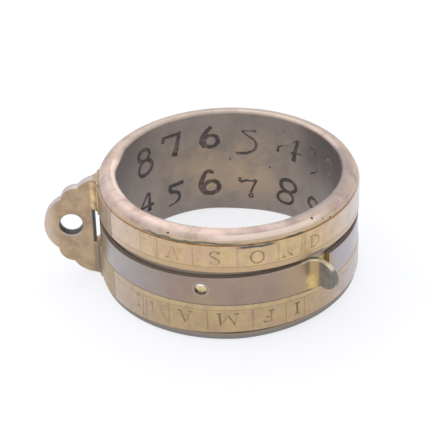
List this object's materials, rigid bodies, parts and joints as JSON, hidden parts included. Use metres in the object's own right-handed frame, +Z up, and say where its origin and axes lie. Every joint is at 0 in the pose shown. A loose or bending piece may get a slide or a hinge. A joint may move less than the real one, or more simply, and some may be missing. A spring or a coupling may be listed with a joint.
{
  "type": "ring dial",
  "caption": "Brass pocket ring sundial: an hour hoop with applied month strips, a scalloped hanging lug and a sliding pinhole collar with a thumb tab.",
  "frame": {"origin": "on the hoop's axis at the base, in the mouth of the bore", "axes": "+Z up along the hoop's axis, the hanging lug along -X, the middle of the month scales along -Y"},
  "size_m": [0.0484, 0.04, 0.0184],
  "materials": {
    "hoop_brass": "handled brass, darkened in the bore and bright on the rim",
    "strip_brass": "worn golden brass, stamped and scribed, dark in the cuts",
    "lug_brass": "filed brass with a handled polish",
    "collar_brass": "grey-brown tarnished sheet, bright in the bend of the tab"
  },
  "bodies": {
    "hoop": {"hour_hoop": "hoop_brass", "upper_month_strip": "strip_brass", "lower_month_strip": "strip_brass", "suspension_lug": "lug_brass"},
    "collar": {"sliding_collar": "collar_brass"}
  },
  "joints": [
    {"name": "collar_turn", "type": "hinge", "parent": "hoop", "child": "collar", "pos_m": [0, 0, 0.0088], "axis": [0, 0, 1], "range_deg": [-125, 225]}
  ]
}
